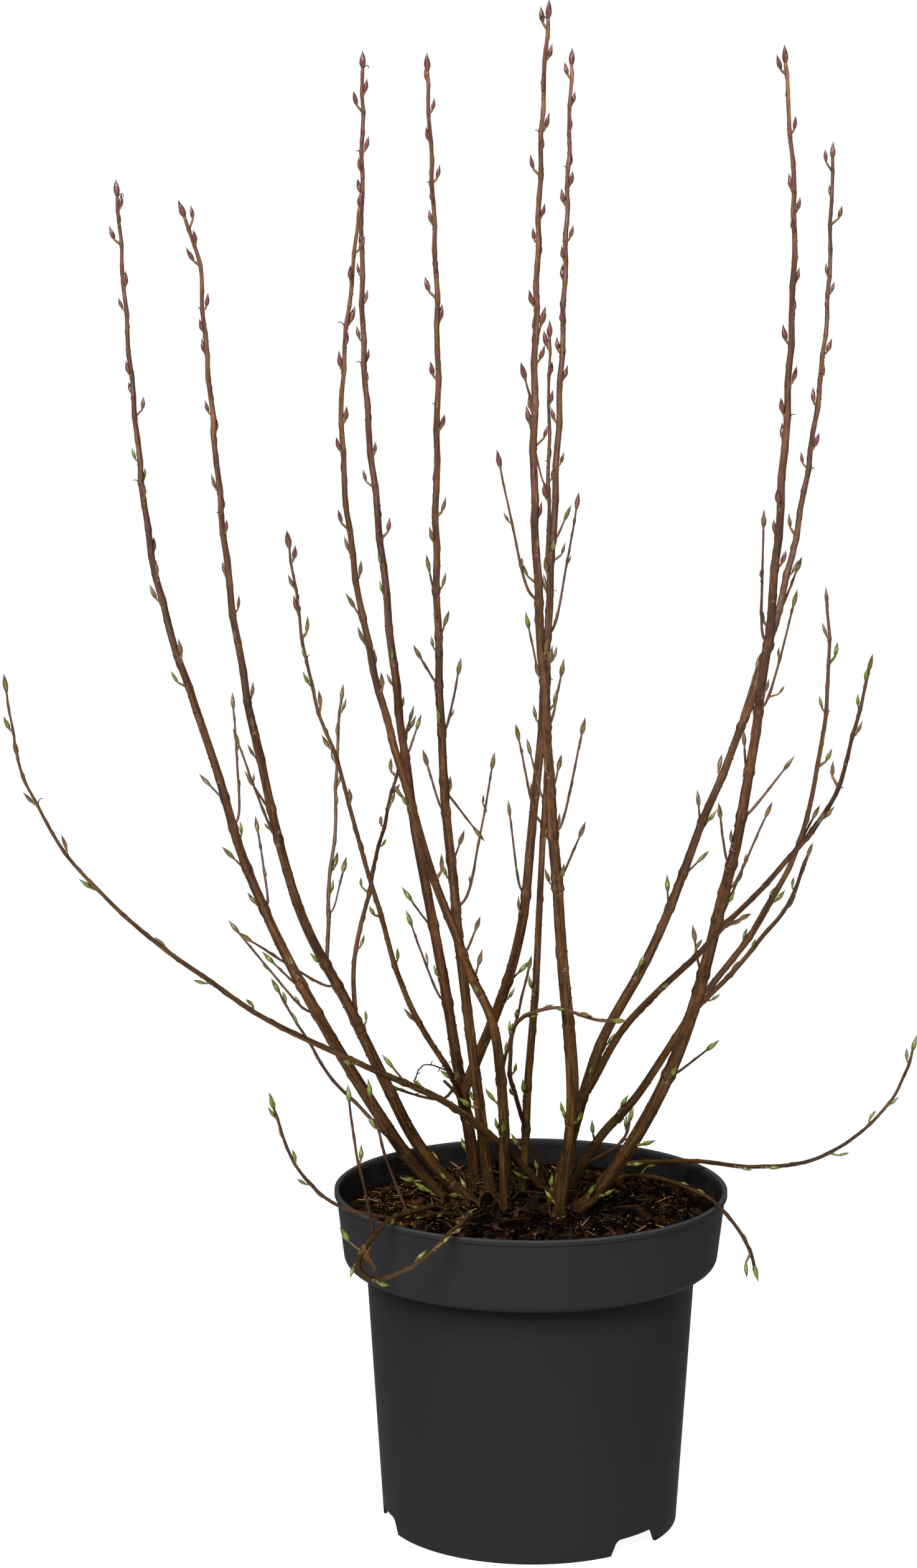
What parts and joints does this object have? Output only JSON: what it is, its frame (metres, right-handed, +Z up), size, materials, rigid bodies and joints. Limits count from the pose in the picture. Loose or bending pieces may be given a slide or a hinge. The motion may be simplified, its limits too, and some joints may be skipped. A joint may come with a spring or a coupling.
{
  "type": "potted flowering currant shrub",
  "caption": "Leafless flowering currant with upright budding canes in a round dark nursery pot, filled with compost.",
  "frame": {"origin": "centre of the pot's flat underside", "axes": "+Z up along the pot's axis, -Y towards the viewer of the picture, +X to the viewer's right"},
  "size_m": [0.6336, 0.351, 1.0666],
  "materials": {
    "pot": "moulded charcoal plastic with a fine satin grain",
    "compost": "dark moist potting compost with bark chips and fibres",
    "old_wood": "olive-brown ridged bark with peeling pale streaks",
    "young_wood": "smooth reddish-brown bark, satin, with pointed buds"
  },
  "bodies": {
    "root": {"pot": "pot", "compost": "compost", "stool": "old_wood", "west_outer_bough": "old_wood", "west_outer_spray": "young_wood", "west_outer_shoot_1": "young_wood", "west_inner_bough": "old_wood", "west_inner_spray": "young_wood", "back_west_bough": "old_wood", "back_west_spray": "young_wood", "back_west_shoot_1": "young_wood", "back_west_shoot_2": "young_wood", "front_west_bough": "old_wood", "front_west_spray": "young_wood", "front_west_shoot_1": "young_wood", "middle_west_bough": "old_wood", "middle_west_spray": "young_wood", "front_east_bough": "old_wood", "front_east_spray": "young_wood", "back_middle_bough": "old_wood", "back_middle_spray": "young_wood", "back_middle_shoot_1": "young_wood", "middle_bough": "old_wood", "middle_spray": "young_wood", "east_inner_bough": "old_wood", "east_inner_spray": "young_wood", "east_inner_shoot_1": "young_wood", "east_inner_shoot_2": "young_wood", "east_outer_bough": "old_wood", "east_outer_spray": "young_wood", "front_arch_bough": "old_wood", "front_arch_spray": "young_wood", "back_arch_bough": "old_wood", "back_arch_spray": "young_wood", "back_arch_fork_spray": "young_wood", "front_sweep_bough": "old_wood", "front_sweep_spray": "young_wood", "front_sweep_shoot_1": "young_wood", "inner_bow_bough": "old_wood", "inner_bow_spray": "young_wood", "twin_fork_spray": "young_wood", "leaning_fork_spray": "young_wood", "low_fork_west_spray": "young_wood", "elbow_fork_spray": "young_wood", "thin_fork_spray": "young_wood", "knot_twig_spray": "young_wood", "old_raceme_spray": "young_wood", "east_low_fork_spray": "young_wood", "rim_sweep_east_bough": "old_wood", "rim_sweep_east_spray": "young_wood", "rim_droop_east_bough": "old_wood", "rim_droop_east_spray": "young_wood", "rim_sweep_west_bough": "old_wood", "rim_sweep_west_spray": "young_wood", "rim_loop_bough": "old_wood", "rim_loop_spray": "young_wood", "rim_riser_outer_spray": "young_wood", "rim_riser_inner_spray": "young_wood"}
  },
  "joints": []
}
